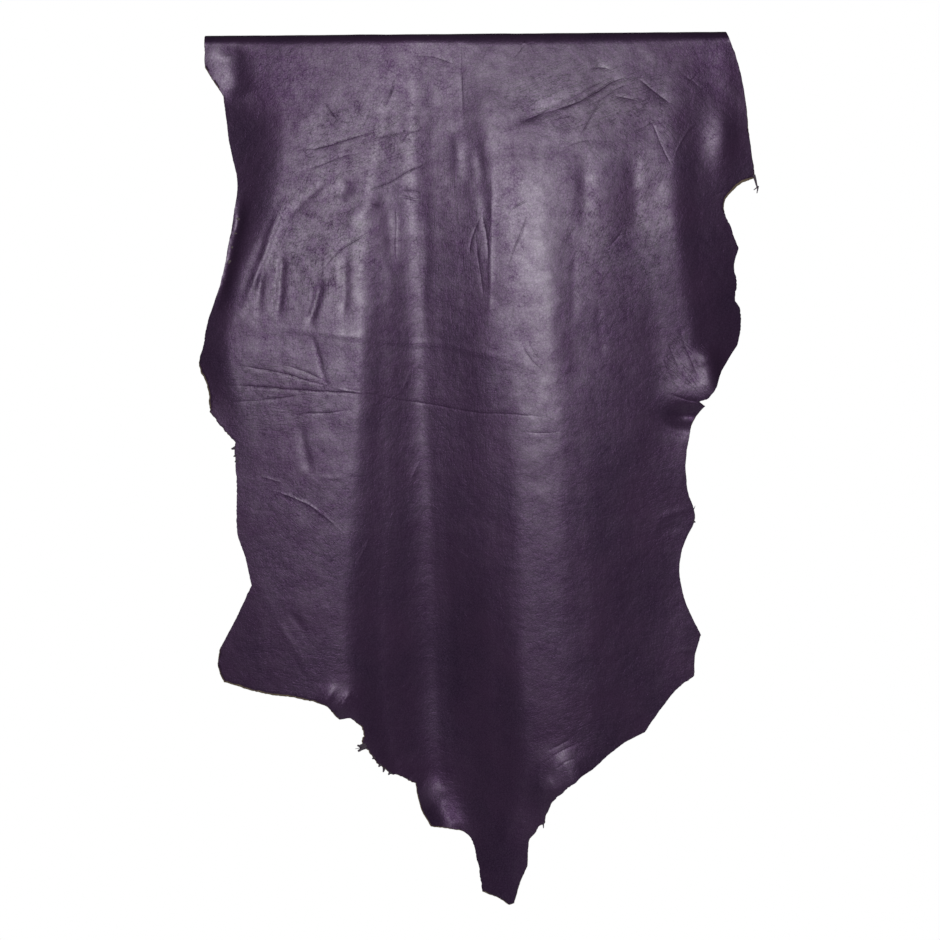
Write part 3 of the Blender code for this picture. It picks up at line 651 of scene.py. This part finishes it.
def clear_of_lines(point):
    """True where the grain side has room for one more point of its net."""
    place = (*point, 0.0)
    return (edge_tree.find(place)[2] > EDGE_ROOM * EDGE_PITCH
            and line_tree.find(place)[2] > LINE_ROOM * GRAIN_PITCH)


def clear_of_edge(point):
    """True where the flesh side has room for one more point of its net."""
    return edge_tree.find((*point, 0.0))[2] > EDGE_ROOM * FLESH_PITCH


grain_flat, grain_faces = triangles(grain_edge, np.vstack(
    (lines, net_of_points(grain_edge, GRAIN_PITCH, REAR_PITCH, clear_of_lines))))
flesh_flat, flesh_faces = triangles(
    flesh_edge, net_of_points(flesh_edge, FLESH_PITCH, FLESH_PITCH, clear_of_edge))

wide_creases = crease_relief(grain_flat, True)
all_creases = crease_relief(grain_flat, False)
grain_lift = SHEET / 2 + (all_creases + undulation(grain_flat)) * MM
flesh_lift = (crease_relief(flesh_flat, True) + undulation(flesh_flat)) * MM - SHEET / 2
grain_points = drape(grain_flat) + outwards(grain_flat) * grain_lift[:, None]
flesh_points = drape(flesh_flat) + outwards(flesh_flat) * flesh_lift[:, None]

# The cut round the hide: a band between the two sides, with a row of points in its middle.
rim = len(flesh_edge)
cut_points = (grain_points[:rim] + flesh_points[:rim]) / 2
first_flesh, first_cut = len(grain_points), len(grain_points) + len(flesh_points)
here = np.arange(rim)
after = (here + 1) % rim
cut_faces = np.vstack([
    np.column_stack(quad) for quad in (
        (here, first_cut + here, first_cut + after), (here, first_cut + after, after),
        (first_cut + here, first_flesh + here, first_flesh + after),
        (first_cut + here, first_flesh + after, first_cut + after))])
points = np.vstack((grain_points, flesh_points, cut_points))
faces = np.vstack((grain_faces, flesh_faces[:, ::-1] + first_flesh, cut_faces))
flat = np.vstack((grain_flat, flesh_flat, flesh_edge))
sides = np.repeat((0, 1, 2), (len(grain_faces), len(flesh_faces), len(cut_faces)))

SHARP_TURN = radians(50)    # an edge between two faces that turn more than this stays sharp
mesh = bpy.data.meshes.new("leather_sheet")
mesh.vertices.add(len(points))
mesh.vertices.foreach_set("co", points.ravel())
mesh.loops.add(faces.size)
mesh.loops.foreach_set("vertex_index", faces.ravel())
mesh.polygons.add(len(faces))
mesh.polygons.foreach_set("loop_start", np.arange(0, faces.size, 3))
mesh.update(calc_edges=True)
mesh.validate()
mesh.shade_smooth()
mesh.set_sharp_from_angle(angle=SHARP_TURN)
mesh.polygons.foreach_set("material_index", sides)

CUT_SPAN = 1600.0           # mm of flat hide to one unit of its UV map
cut_corner = flat.min(axis=0)
uv = mesh.uv_layers.new(name="cut")
uv.data.foreach_set("uv", ((flat[faces.ravel()] - cut_corner) / CUT_SPAN).ravel())

# Hair-fine wrinkles of the grain run one of these ways, in degrees from across the hide:
# mm between them, and how many times longer than that they are.
Run = namedtuple("Run", "apart stretch")
RUNS = {90: Run(4.5, 11), 65: Run(4.5, 6), 22: Run(5.0, 6), -8: Run(4.5, 7), -42: Run(5.0, 5)}

# They gather in patches: middle x and drop, half width and half height in mm, the way
# that they run and their strength.
Wrinkles = namedtuple("Wrinkles", "name x drop half_width half_height run strength")
WRINKLES = [Wrinkles(*row) for row in (
    ("spine streaks", -18, 300, 62, 150, 90, 1.0),
    ("spine streaks, lower", -10, 520, 70, 170, 90, 0.6),
    ("left shoulder", -150, 150, 120, 70, 22, 0.9),
    ("left shoulder, crossing", -130, 130, 110, 60, 65, 0.6),
    ("left face", -210, 265, 95, 110, 65, 1.0),
    ("left face, crossing", -190, 300, 90, 90, 22, 0.7),
    ("left waist", -240, 345, 90, 60, 90, 0.9),
    ("left flank", -270, 500, 100, 70, -8, 1.2),
    ("left belly", -235, 690, 90, 110, -42, 1.1),
    ("left leg", -235, 860, 95, 60, -8, 1.0),
    ("right shoulder", 165, 85, 150, 60, 22, 1.3),
    ("right shoulder, crossing", 200, 130, 110, 70, -42, 0.8),
    ("right shoulder, edge", 300, 110, 60, 90, -42, 0.9),
    ("right face", 245, 270, 65, 130, 65, 1.1),
    ("right face, crossing", 225, 320, 70, 110, 22, 0.9),
    ("right ribs", 165, 300, 50, 100, 65, 1.0),
    ("storage fold", -20, 480, 190, 38, -8, 0.6),
    ("slit fan", 300, 460, 50, 60, -42, 1.4),
    ("right flank", 270, 640, 60, 90, 22, 0.8),
    ("rump", 60, 960, 160, 90, 22, 0.7),
)]

# Where the glaze is worn or polished: middle x and drop, half width and half height in
# mm, and what the patch adds to the weight of the coat.
Sheen = namedtuple("Sheen", "name x drop half_width half_height gain")
SHEENS = [Sheen(*row) for row in (
    ("right shoulder", 143, 60, 165, 90, 0.12),
    ("right shoulder, ribs", 183, 122, 55, 96, 0.08),
    ("beside the spine", 35, 66, 55, 96, 0.08),
    ("right column", 104, 290, 41, 179, 0.15),
    ("right column, lower", 92, 561, 41, 151, 0.12),
    ("right face", 257, 349, 36, 124, 0.07),
    ("shoulder, left", -96, 30, 47, 69, -0.07),
    ("left margin, top", -262, 80, 75, 88, -0.13),
    ("right margin, top", 345, 45, 52, 82, -0.13),
    ("left face", -229, 125, 82, 82, 0.012),
    ("elbow", -143, 250, 24, 26, 0.11),
    ("waist", -157, 375, 30, 90, 0.07),
    ("left flank", -300, 500, 50, 60, 0.06),
    ("rib hollow", 208, 418, 36, 96, -0.04),
    ("belly, left", -255, 586, 55, 110, -0.05),
    ("leg spot", -194, 903, 41, 33, -0.04),
    ("pocket under the slit", 315, 532, 20, 10, -0.22),
    ("lappet root", -46, 1020, 32, 26, -0.16),
    ("tail root", -28, 1072, 30, 50, -0.19),
    ("tail", 38, 1160, 55, 90, -0.16),
    ("rump, left", -77, 997, 50, 55, -0.08),
)]

# Patches of the grain lightened as painted highlights: the same measures, and how light from 0 to 1.
PAINTED_HIGHLIGHTS = [Sheen(*row) for row in (
    ("slit fan", 318, 478, 20, 28, 0.25),
    ("lappet", -64, 1052, 20, 20, 0.25),
    ("rump, right", 118, 1026, 20, 22, 0.25),
)]


PATCH_FADE = 1.5            # how softly a patch fades: 0 would be a hard border
WRINKLE_FILL = 2.0          # times a patch of wrinkles is lifted, so that its middle is full


def keep(name, values):
    """Holds a measure at the points of the grain side, for the finish to read."""
    held = np.zeros(len(points))
    held[:first_flesh] = values
    mesh.attributes.new(name, "FLOAT", "POINT").data.foreach_set("value", held)


def patch_at(patch):
    """1 in the middle of a patch, fading softly to 0 at its border, on the grain side."""
    across = (grain_flat[:, 0] - patch.x) / patch.half_width
    along = (grain_flat[:, 1] + over_crest(patch.drop)) / patch.half_height
    return np.maximum(0.0, 1 - across ** 2 - along ** 2) ** PATCH_FADE


keep("crease", np.maximum(wide_creases - all_creases, 0.0))
keep("sheen", sum(patch.gain * patch_at(patch) for patch in SHEENS))
# The painted highlights: how far the grain's colour turns to the lighter highlight colour.
keep("pale", sum(patch.gain * patch_at(patch) for patch in PAINTED_HIGHLIGHTS))
for slant in RUNS:
    keep(f"run {slant}", sum(patch.strength * np.minimum(1.0, WRINKLE_FILL * patch_at(patch))
                             for patch in WRINKLES if patch.run == slant))


class Signal:
    """One output socket of a finish's nodes. Arithmetic on it adds Math nodes."""

    def __init__(self, finish, socket):
        self.finish, self.socket = finish, socket

    def math(self, operation, *values):
        return self.finish.node("Math", {"operation": operation}, dict(enumerate(values)))

    def __add__(self, other):
        return self.math("ADD", self, other)

    def __sub__(self, other):
        return self.math("SUBTRACT", self, other)

    def __rsub__(self, other):
        return self.math("SUBTRACT", other, self)

    def __mul__(self, other):
        return self.math("MULTIPLY", self, other)

    __radd__, __rmul__ = __add__, __mul__


class Finish:
    """A material and its nodes. shader is its Principled BSDF."""

    def __init__(self, name):
        self.material = bpy.data.materials.new(name)
        self.material.use_nodes = True
        self.tree = self.material.node_tree
        self.shader = self.tree.nodes["Principled BSDF"]

    def feed(self, node, inputs):
        """Sets or links the inputs of a node."""
        for name, value in inputs.items():
            if isinstance(value, Signal):
                self.tree.links.new(value.socket, node.inputs[name])
            else:
                node.inputs[name].default_value = value

    def node(self, kind, settings, inputs, output=0):
        """Adds a node of a type, with its settings and then the values or links of its sockets."""
        made = self.tree.nodes.new("ShaderNode" + kind)
        for setting, value in settings.items():
            setattr(made, setting, value)
        self.feed(made, inputs)
        return Signal(self, made.outputs[output])

    def shade(self, inputs, relief=None):
        """Sets or links the shader's sockets; relief is how far the surface rises, in mm."""
        if relief is not None:
            inputs["Normal"] = self.node("Bump", {}, {"Strength": 1.0, "Distance": MM,
                                                      "Height": relief})
        self.feed(self.shader, inputs)

    def on_the_cut(self):
        """Place on the flat hide in mm: x and height over the crest."""
        flat = self.node("UVMap", {"uv_map": "cut"}, {})
        return self.node("VectorMath", {"operation": "MULTIPLY_ADD"},
                         {0: flat, 1: (CUT_SPAN, CUT_SPAN, 0.0), 2: (*cut_corner, 0.0)})

    def held(self, name):
        """A measure that the mesh holds at its points."""
        return self.node("Attribute", {"attribute_name": name}, {}, output=2)

    def noise(self, size, detail=2.0, roughness=0.5, at=None):
        """Noise from 0 to 1 with features of a size in mm, or of size 1 at a place given."""
        return self.node("TexNoise", {"noise_dimensions": "2D"}, {
            "Vector": at or self.on_the_cut(), "Scale": 1.0 / size,
            "Detail": detail, "Roughness": roughness})

    def stirred(self, size, reach, detail):
        """Place on the flat hide, pushed about by noise with features of a size in mm."""
        push = self.node("TexNoise", {"noise_dimensions": "2D"}, {
            "Vector": self.on_the_cut(), "Scale": 1 / size, "Detail": detail}, output=1)
        return self.node("VectorMath", {"operation": "MULTIPLY_ADD"},
                         {0: push, 1: (reach, reach, 0.0), 2: self.on_the_cut()})

    def cells(self, at, size):
        """How far each place lies from the nearest border between cells of a size in mm."""
        return self.node("TexVoronoi", {
            "voronoi_dimensions": "2D", "feature": "DISTANCE_TO_EDGE"},
            {"Vector": at, "Scale": 1 / size, "Randomness": 1.0})

    def rise(self, value, low, high):
        """Soft step from 0 to 1 as a value goes from low to high."""
        return self.node("MapRange", {"interpolation_type": "SMOOTHSTEP"},
                         {0: value, 1: low, 2: high, 3: 0.0, 4: 1.0})

    def lines(self, value, half_width):
        """Thin lines of 1 where a noise passes through its middle, and 0 away from them."""
        off = self.node("Math", {"operation": "ABSOLUTE"}, {0: value - 0.5})
        return self.rise(off, half_width, 0.0)

    def mix(self, share, a, b):
        """Colour from a to b."""
        return self.node("Mix", {"data_type": "RGBA"}, {"Factor": share, 6: a, 7: b}, output=2)


# The grain side: pebbles and soft swirls under a glaze, over dye of three depths, with a few
# patches lightened as painted highlights. Where the grain is wrinkled or creased it lies lower
# and holds less of the glaze.
PEBBLE = 4.2                # mm across a pebble of the grain
NET = 16.0                  # mm across a mesh of the loose net of wrinkles all over
SPECKLE = 4.5               # mm across a fleck of more or less glaze
SWIRL = 10.0                # mm across a soft swell of the grain
GAP = 11.0                  # mm across the gaps in which wrinkles run out
CLOUD = 24.0                # mm across a patch of more or less glaze
BLOTCH = 70.0               # mm across a patch of warmer dye
HAIR = 0.055                # half width of a wrinkle, as a share of its noise
DYE = (0.0178, 0.0104, 0.0238, 1.0)
DYE_WARM = (0.0242, 0.0110, 0.0266, 1.0)
DYE_DEEP = (0.0095, 0.0056, 0.0140, 1.0)
# Colour of the painted highlights, a lighter purple than the dye.
HIGHLIGHT_PAINT = (0.0560, 0.0360, 0.0640, 1.0)
NET_PULL = 0.6              # strength of that net, where a wrinkle of a patch has 1
CREASE_PULL = 4.0           # strength of a fine crease 1 mm deep
GLAZE = 0.185               # weight of the glaze where nothing adds to it
PEBBLE_GLAZE = 0.07         # how far the pebbles change it
SPECKLE_GLAZE = 0.28        # how far the flecks do
CLOUD_GLAZE = 0.42          # how far the patches do
WRINKLE_GLAZE = 0.065       # what a wrinkle takes from it
PEBBLE_RISE = 0.06          # mm that a pebble stands up
SWIRL_RISE = 0.50           # mm that a swell does
WRINKLE_DEPTH = 0.13        # mm that a wrinkle lies lower
SHINE_TINT = (0.84, 0.49, 1.0, 1.0)     # of the gloss under the glaze

grain = Finish("dyed_grain")
pebble = grain.rise(grain.cells(grain.stirred(size=3.5, reach=5.0, detail=1.0), PEBBLE),
                    low=0.0, high=0.26)
speckle = grain.noise(SPECKLE, roughness=1.0)
blotch = grain.noise(BLOTCH, detail=3.0)
cloud = grain.noise(CLOUD, detail=3.0, roughness=0.65)
swirl = grain.noise(SWIRL, detail=3.0)
unbroken = grain.rise(grain.noise(GAP), low=0.36, high=0.56)
net = grain.rise(grain.cells(grain.stirred(size=7.0, reach=8.0, detail=2.0), NET),
                 low=0.07, high=0.0)
wrinkles = NET_PULL * net * unbroken
for slant, run in RUNS.items():
    laid = grain.node("Mapping", {"vector_type": "TEXTURE"}, {
        0: grain.on_the_cut(), 2: (0.0, 0.0, radians(slant)),
        3: (run.apart * run.stretch, run.apart, 1.0)})
    hairs = grain.lines(grain.noise(1.0, detail=1.0, at=laid), HAIR)
    wrinkles = wrinkles + grain.held(f"run {slant}") * hairs * unbroken
wrinkles = wrinkles + CREASE_PULL * grain.held("crease")
dye = grain.mix(blotch, grain.mix(pebble, DYE_DEEP, DYE), DYE_WARM)
glaze = (GLAZE + PEBBLE_GLAZE * (pebble - 0.6) + SPECKLE_GLAZE * (speckle - 0.5)
         + CLOUD_GLAZE * (cloud - 0.5) + grain.held("sheen") - WRINKLE_GLAZE * wrinkles)
# The base colour is lightened where the painted highlights lie.
grain.shade({
    "Base Color": grain.mix(grain.held("pale"), dye, HIGHLIGHT_PAINT),
    "Roughness": 0.40 + 0.04 * blotch,
    "Specular IOR Level": 0.225,
    "Specular Tint": SHINE_TINT,
    "Coat Weight": glaze,
    "Coat Roughness": 0.332,
    "Coat IOR": 1.5,
}, relief=PEBBLE_RISE * pebble + SWIRL_RISE * swirl - WRINKLE_DEPTH * wrinkles)

# The flesh side is a dry brown-grey nap, and the cut shows raw fibre of a paler brown.
FLESH_DARK, FLESH_PALE = (0.042, 0.031, 0.036, 1.0), (0.085, 0.070, 0.068, 1.0)
FIBRE_DARK, FIBRE_PALE = (0.045, 0.034, 0.028, 1.0), (0.13, 0.092, 0.050, 1.0)
NAP = 1.2                   # mm across a tuft of the suede
NAP_RISE = 0.5              # mm that it stands up
DRIFT = 45.0                # mm across a patch where the nap lies one way
DRIFT_RISE = 0.4            # mm that such a patch stands up
FIBRE = 1.5                 # mm across a fibre of the cut

flesh = Finish("suede_flesh")
nap = flesh.noise(NAP, detail=4.0, roughness=0.7)
drift = flesh.noise(DRIFT, detail=4.0)
flesh.shade({
    "Base Color": flesh.mix(0.6 * drift + 0.4 * nap, FLESH_DARK, FLESH_PALE),
    "Roughness": 0.95,
    "Specular IOR Level": 0.2,
    "Sheen Weight": 0.25,
}, relief=NAP_RISE * nap + DRIFT_RISE * drift)

cut = Finish("raw_cut")
fibre = cut.noise(FIBRE, detail=4.0, roughness=0.7)
cut.shade({"Base Color": cut.mix(fibre, FIBRE_DARK, FIBRE_PALE), "Roughness": 0.9})

for finish in (grain, flesh, cut):
    mesh.materials.append(finish.material)
leather = bpy.data.objects.new("leather_sheet", mesh)
scene.collection.objects.link(leather)
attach(leather, "root")
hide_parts("hide")

# ------------------------------------------------------------------ shreds at the cut edge
# Torn shreds, nick points and fibres of the hide itself, left where the knife or a tear
# passed. Each one is a thin tapering strand of the same leather, rooted in the cut edge.
Shred = namedtuple("Shred", "name x drop aside length width")  # aside: degrees from straight down
SHREDS = [Shred(*row) for row in (
    ("hook tip", 396, 199, 16, 16, 4.8),
    ("hook tip, long fork", 401, 214, -6, 8, 3.0),
    ("hook tip, short fork", 401, 214, -55, 7, 2.6),
    ("flank tear, over", -147, 978, -82, 8, 5.0),
    ("flank tear, long", -146, 981, -100, 11, 6.5),
    ("flank tear, under", -147, 982, -62, 11, 6.8),
    ("flank tear, fibre", -147, 980, -70, 14, 1.6),
    ("rump nick 1", -134, 997, -50, 3.6, 5.0),
    ("rump nick 2", -126, 1007, -35, 3.4, 5.0),
    ("rump nick 3", -121, 1013, -15, 4.2, 5.0),
    ("rump nick 4", -113, 1018, -40, 4.0, 5.4),
    ("tail step", 98, 1088, -8, 7, 2.9),
    ("left edge nick 1", -323, 569, -70, 3.6, 5.4),
    ("left edge nick 2", -321, 579, -60, 3.2, 5.0),
    ("left edge nick 3", -319, 587, -80, 3.0, 4.7),
    ("right edge fibre", 309, 658, 150, 5.0, 1.6),
    ("right edge nick", 309, 675, 60, 3.0, 4.3),
)]
SHRED_ROOT = 1.5            # mm that each one starts inside the edge
SHRED_POINTS = 6            # along each one
SHRED_SIDES = 5
SHRED_TAPER = 0.6           # share of its width that it loses by its tip
SHRED_SWAY = 6 * MM         # width over which its tip strays
SHRED_SEED = 4.0
SWAY_CHANGES = 120.0        # of that sway to the metre
SHRED_FIBRE = 2.5 * MM      # across a fibre of its torn face
TORN_DARK, TORN_PALE = (0.014, 0.008, 0.018, 1.0), (0.055, 0.036, 0.055, 1.0)

turns = np.radians([shred.aside for shred in SHREDS])
ways = np.column_stack((np.sin(turns), np.zeros(len(turns)), -np.cos(turns)))
roots = drape(np.array([(shred.x, -over_crest(shred.drop)) for shred in SHREDS]))
roots -= ways * SHRED_ROOT * MM
measures = {
    "way": ("FLOAT_VECTOR", "vector", ways),
    "reach": ("FLOAT", "value", [(shred.length + SHRED_ROOT) * MM for shred in SHREDS]),
    "stout": ("FLOAT", "value", [shred.width / 2 * MM for shred in SHREDS])}
rooted = bpy.data.meshes.new("edge_shreds")
rooted.from_pydata(roots.tolist(), [], [])
for name, (kind, field, values) in measures.items():
    rooted.attributes.new(name, kind, "POINT").data.foreach_set(field, np.ravel(values))
shreds = bpy.data.objects.new("edge_shreds", rooted)
scene.collection.objects.link(shreds)

torn = Finish("torn_leather")
fibres = torn.node("TexNoise", {}, {"Scale": 1 / SHRED_FIBRE, "Detail": 2.0})
torn.shade({"Base Color": torn.mix(fibres, TORN_DARK, TORN_PALE), "Roughness": 0.8})

tree = bpy.data.node_groups.new("shreds", "GeometryNodeTree")
tree.interface.new_socket("Geometry", in_out="OUTPUT", socket_type="NodeSocketGeometry")
INPUTS = {"Geometry": "Geometry", "Sway": "Float", "Taper": "Float", "Sides": "Int",
          "Seed": "Float", "Material": "Material"}
sockets = {name: tree.interface.new_socket(
    name, in_out="INPUT", socket_type="NodeSocket" + kind).identifier
    for name, kind in INPUTS.items()}


def step(kind, inputs, output=0, **settings):
    """Adds one node to the tree with its settings and inputs, and gives one of its outputs."""
    made = tree.nodes.new(kind)
    for setting, value in settings.items():
        setattr(made, setting, value)
    for socket, value in inputs.items():
        if isinstance(value, bpy.types.NodeSocket):
            tree.links.new(value, made.inputs[socket])
        else:
            made.inputs[socket].default_value = value
    return made.outputs[output]


given = tree.nodes.new("NodeGroupInput").outputs
way, reach, stout = (step("GeometryNodeInputNamedAttribute", {"Name": name}, data_type=kind)
                     for name, (kind, _, _) in measures.items())
along = step("GeometryNodeSplineParameter", {})
line = step("GeometryNodeCurvePrimitiveLine", {"Start": (0, 0, 0), "End": (0, 0, 1)})
line = step("GeometryNodeResampleCurve", {"Curve": line, "Count": SHRED_POINTS})
curves = step("GeometryNodeInstanceOnPoints", {
    "Points": given["Geometry"], "Instance": line,
    "Rotation": step("FunctionNodeAlignRotationToVector", {"Vector": way}, axis="Z"),
    "Scale": step("ShaderNodeCombineXYZ", {"X": 1.0, "Y": 1.0, "Z": reach})})
curves = step("GeometryNodeRealizeInstances", {"Geometry": curves})
sway = step("ShaderNodeTexNoise", {"W": given["Seed"], "Scale": SWAY_CHANGES}, output=1,
            noise_dimensions="4D")
sway = step("ShaderNodeVectorMath", {0: sway, 1: (0.5, 0.5, 0.5)}, operation="SUBTRACT")
for share in (given["Sway"], along):
    sway = step("ShaderNodeVectorMath", {0: sway, "Scale": share}, operation="SCALE")
curves = step("GeometryNodeSetPosition", {"Geometry": curves, "Offset": sway})
width = step("ShaderNodeMath", {0: along, 1: given["Taper"]}, operation="MULTIPLY")
width = step("ShaderNodeMath", {0: 1.0, 1: width}, operation="SUBTRACT")
width = step("ShaderNodeMath", {0: width, 1: stout}, operation="MULTIPLY")
ring = step("GeometryNodeCurvePrimitiveCircle", {"Resolution": given["Sides"], "Radius": 1.0})
tubes = step("GeometryNodeCurveToMesh", {
    "Curve": curves, "Profile Curve": ring, "Scale": width, "Fill Caps": True})
tubes = step("GeometryNodeRealizeInstances", {"Geometry": tubes})
tubes = step("GeometryNodeSetMaterial", {"Geometry": tubes, "Material": given["Material"]})
tree.links.new(tubes, tree.nodes.new("NodeGroupOutput").inputs["Geometry"])

grower = shreds.modifiers.new("shreds", "NODES")
grower.node_group = tree
for name, value in (("Sway", SHRED_SWAY), ("Taper", SHRED_TAPER), ("Sides", SHRED_SIDES),
                    ("Seed", SHRED_SEED), ("Material", torn.material)):
    grower[sockets[name]] = value
grown = bpy.data.meshes.new_from_object(
    shreds.evaluated_get(bpy.context.evaluated_depsgraph_get()))
shreds.modifiers.remove(grower)
shreds.data = grown
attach(shreds, "root")

# ------------------------------------------------------------------ floor and light
# A round pale board lies well below the tail. A small softbox in front, near the height
# of the fold, draws the folds, a wider one lights the back, and a white room the rest.
FLOOR_HEIGHT = -1.45
FLOOR_RADIUS = 1.25
FLOOR_SIDES = 96
ROOM_LIGHT = 0.07           # of the white room on the hide; as a backdrop it is full white

around = np.linspace(0, 2 * pi, FLOOR_SIDES, endpoint=False)
ring = [(FLOOR_RADIUS * np.cos(a), FLOOR_RADIUS * np.sin(a), FLOOR_HEIGHT) for a in around]
floor_mesh = bpy.data.meshes.new("floor")
floor_mesh.from_pydata(ring, [], [list(range(FLOOR_SIDES))])
floor = bpy.data.objects.new("floor", floor_mesh)
scene.collection.objects.link(floor)
paint = Finish("pale_floor")
paint.shade({"Base Color": (0.8, 0.8, 0.8, 1.0), "Roughness": 0.8})
floor_mesh.materials.append(paint.material)

world = bpy.data.worlds.new("studio")
scene.world = world
world.use_nodes = True
background = world.node_tree.nodes["Background"]
background.inputs["Color"].default_value = (1.0, 1.0, 1.0, 1.0)
rays = world.node_tree.nodes.new("ShaderNodeLightPath")
strength = world.node_tree.nodes.new("ShaderNodeMapRange")
strength.inputs["To Min"].default_value = ROOM_LIGHT
strength.inputs["To Max"].default_value = 1.0
world.node_tree.links.new(rays.outputs["Is Camera Ray"], strength.inputs["Value"])
world.node_tree.links.new(strength.outputs["Result"], background.inputs["Strength"])


def softbox(name, place, aim, size, watts):
    """Adds a square lamp that faces a point and that the camera doesn't see."""
    lamp = bpy.data.lights.new(name, "AREA")
    lamp.size = size
    lamp.energy = watts
    box = bpy.data.objects.new(name, lamp)
    box.visible_camera = False
    scene.collection.objects.link(box)
    towards = (Vector(aim) - Vector(place)).normalized()
    box.matrix_world = (Matrix.Translation(place)
                        @ towards.to_track_quat("-Z", "Y").to_matrix().to_4x4())


softbox("key", place=(0.0, -2.2, -0.08), aim=(0.0, 0.0, -0.30), size=0.4, watts=52.0)
softbox("back", place=(0.5, 2.4, -0.95), aim=(0.0, 0.0, -0.50), size=1.2, watts=70.0)
scene.view_settings.view_transform = "Standard"
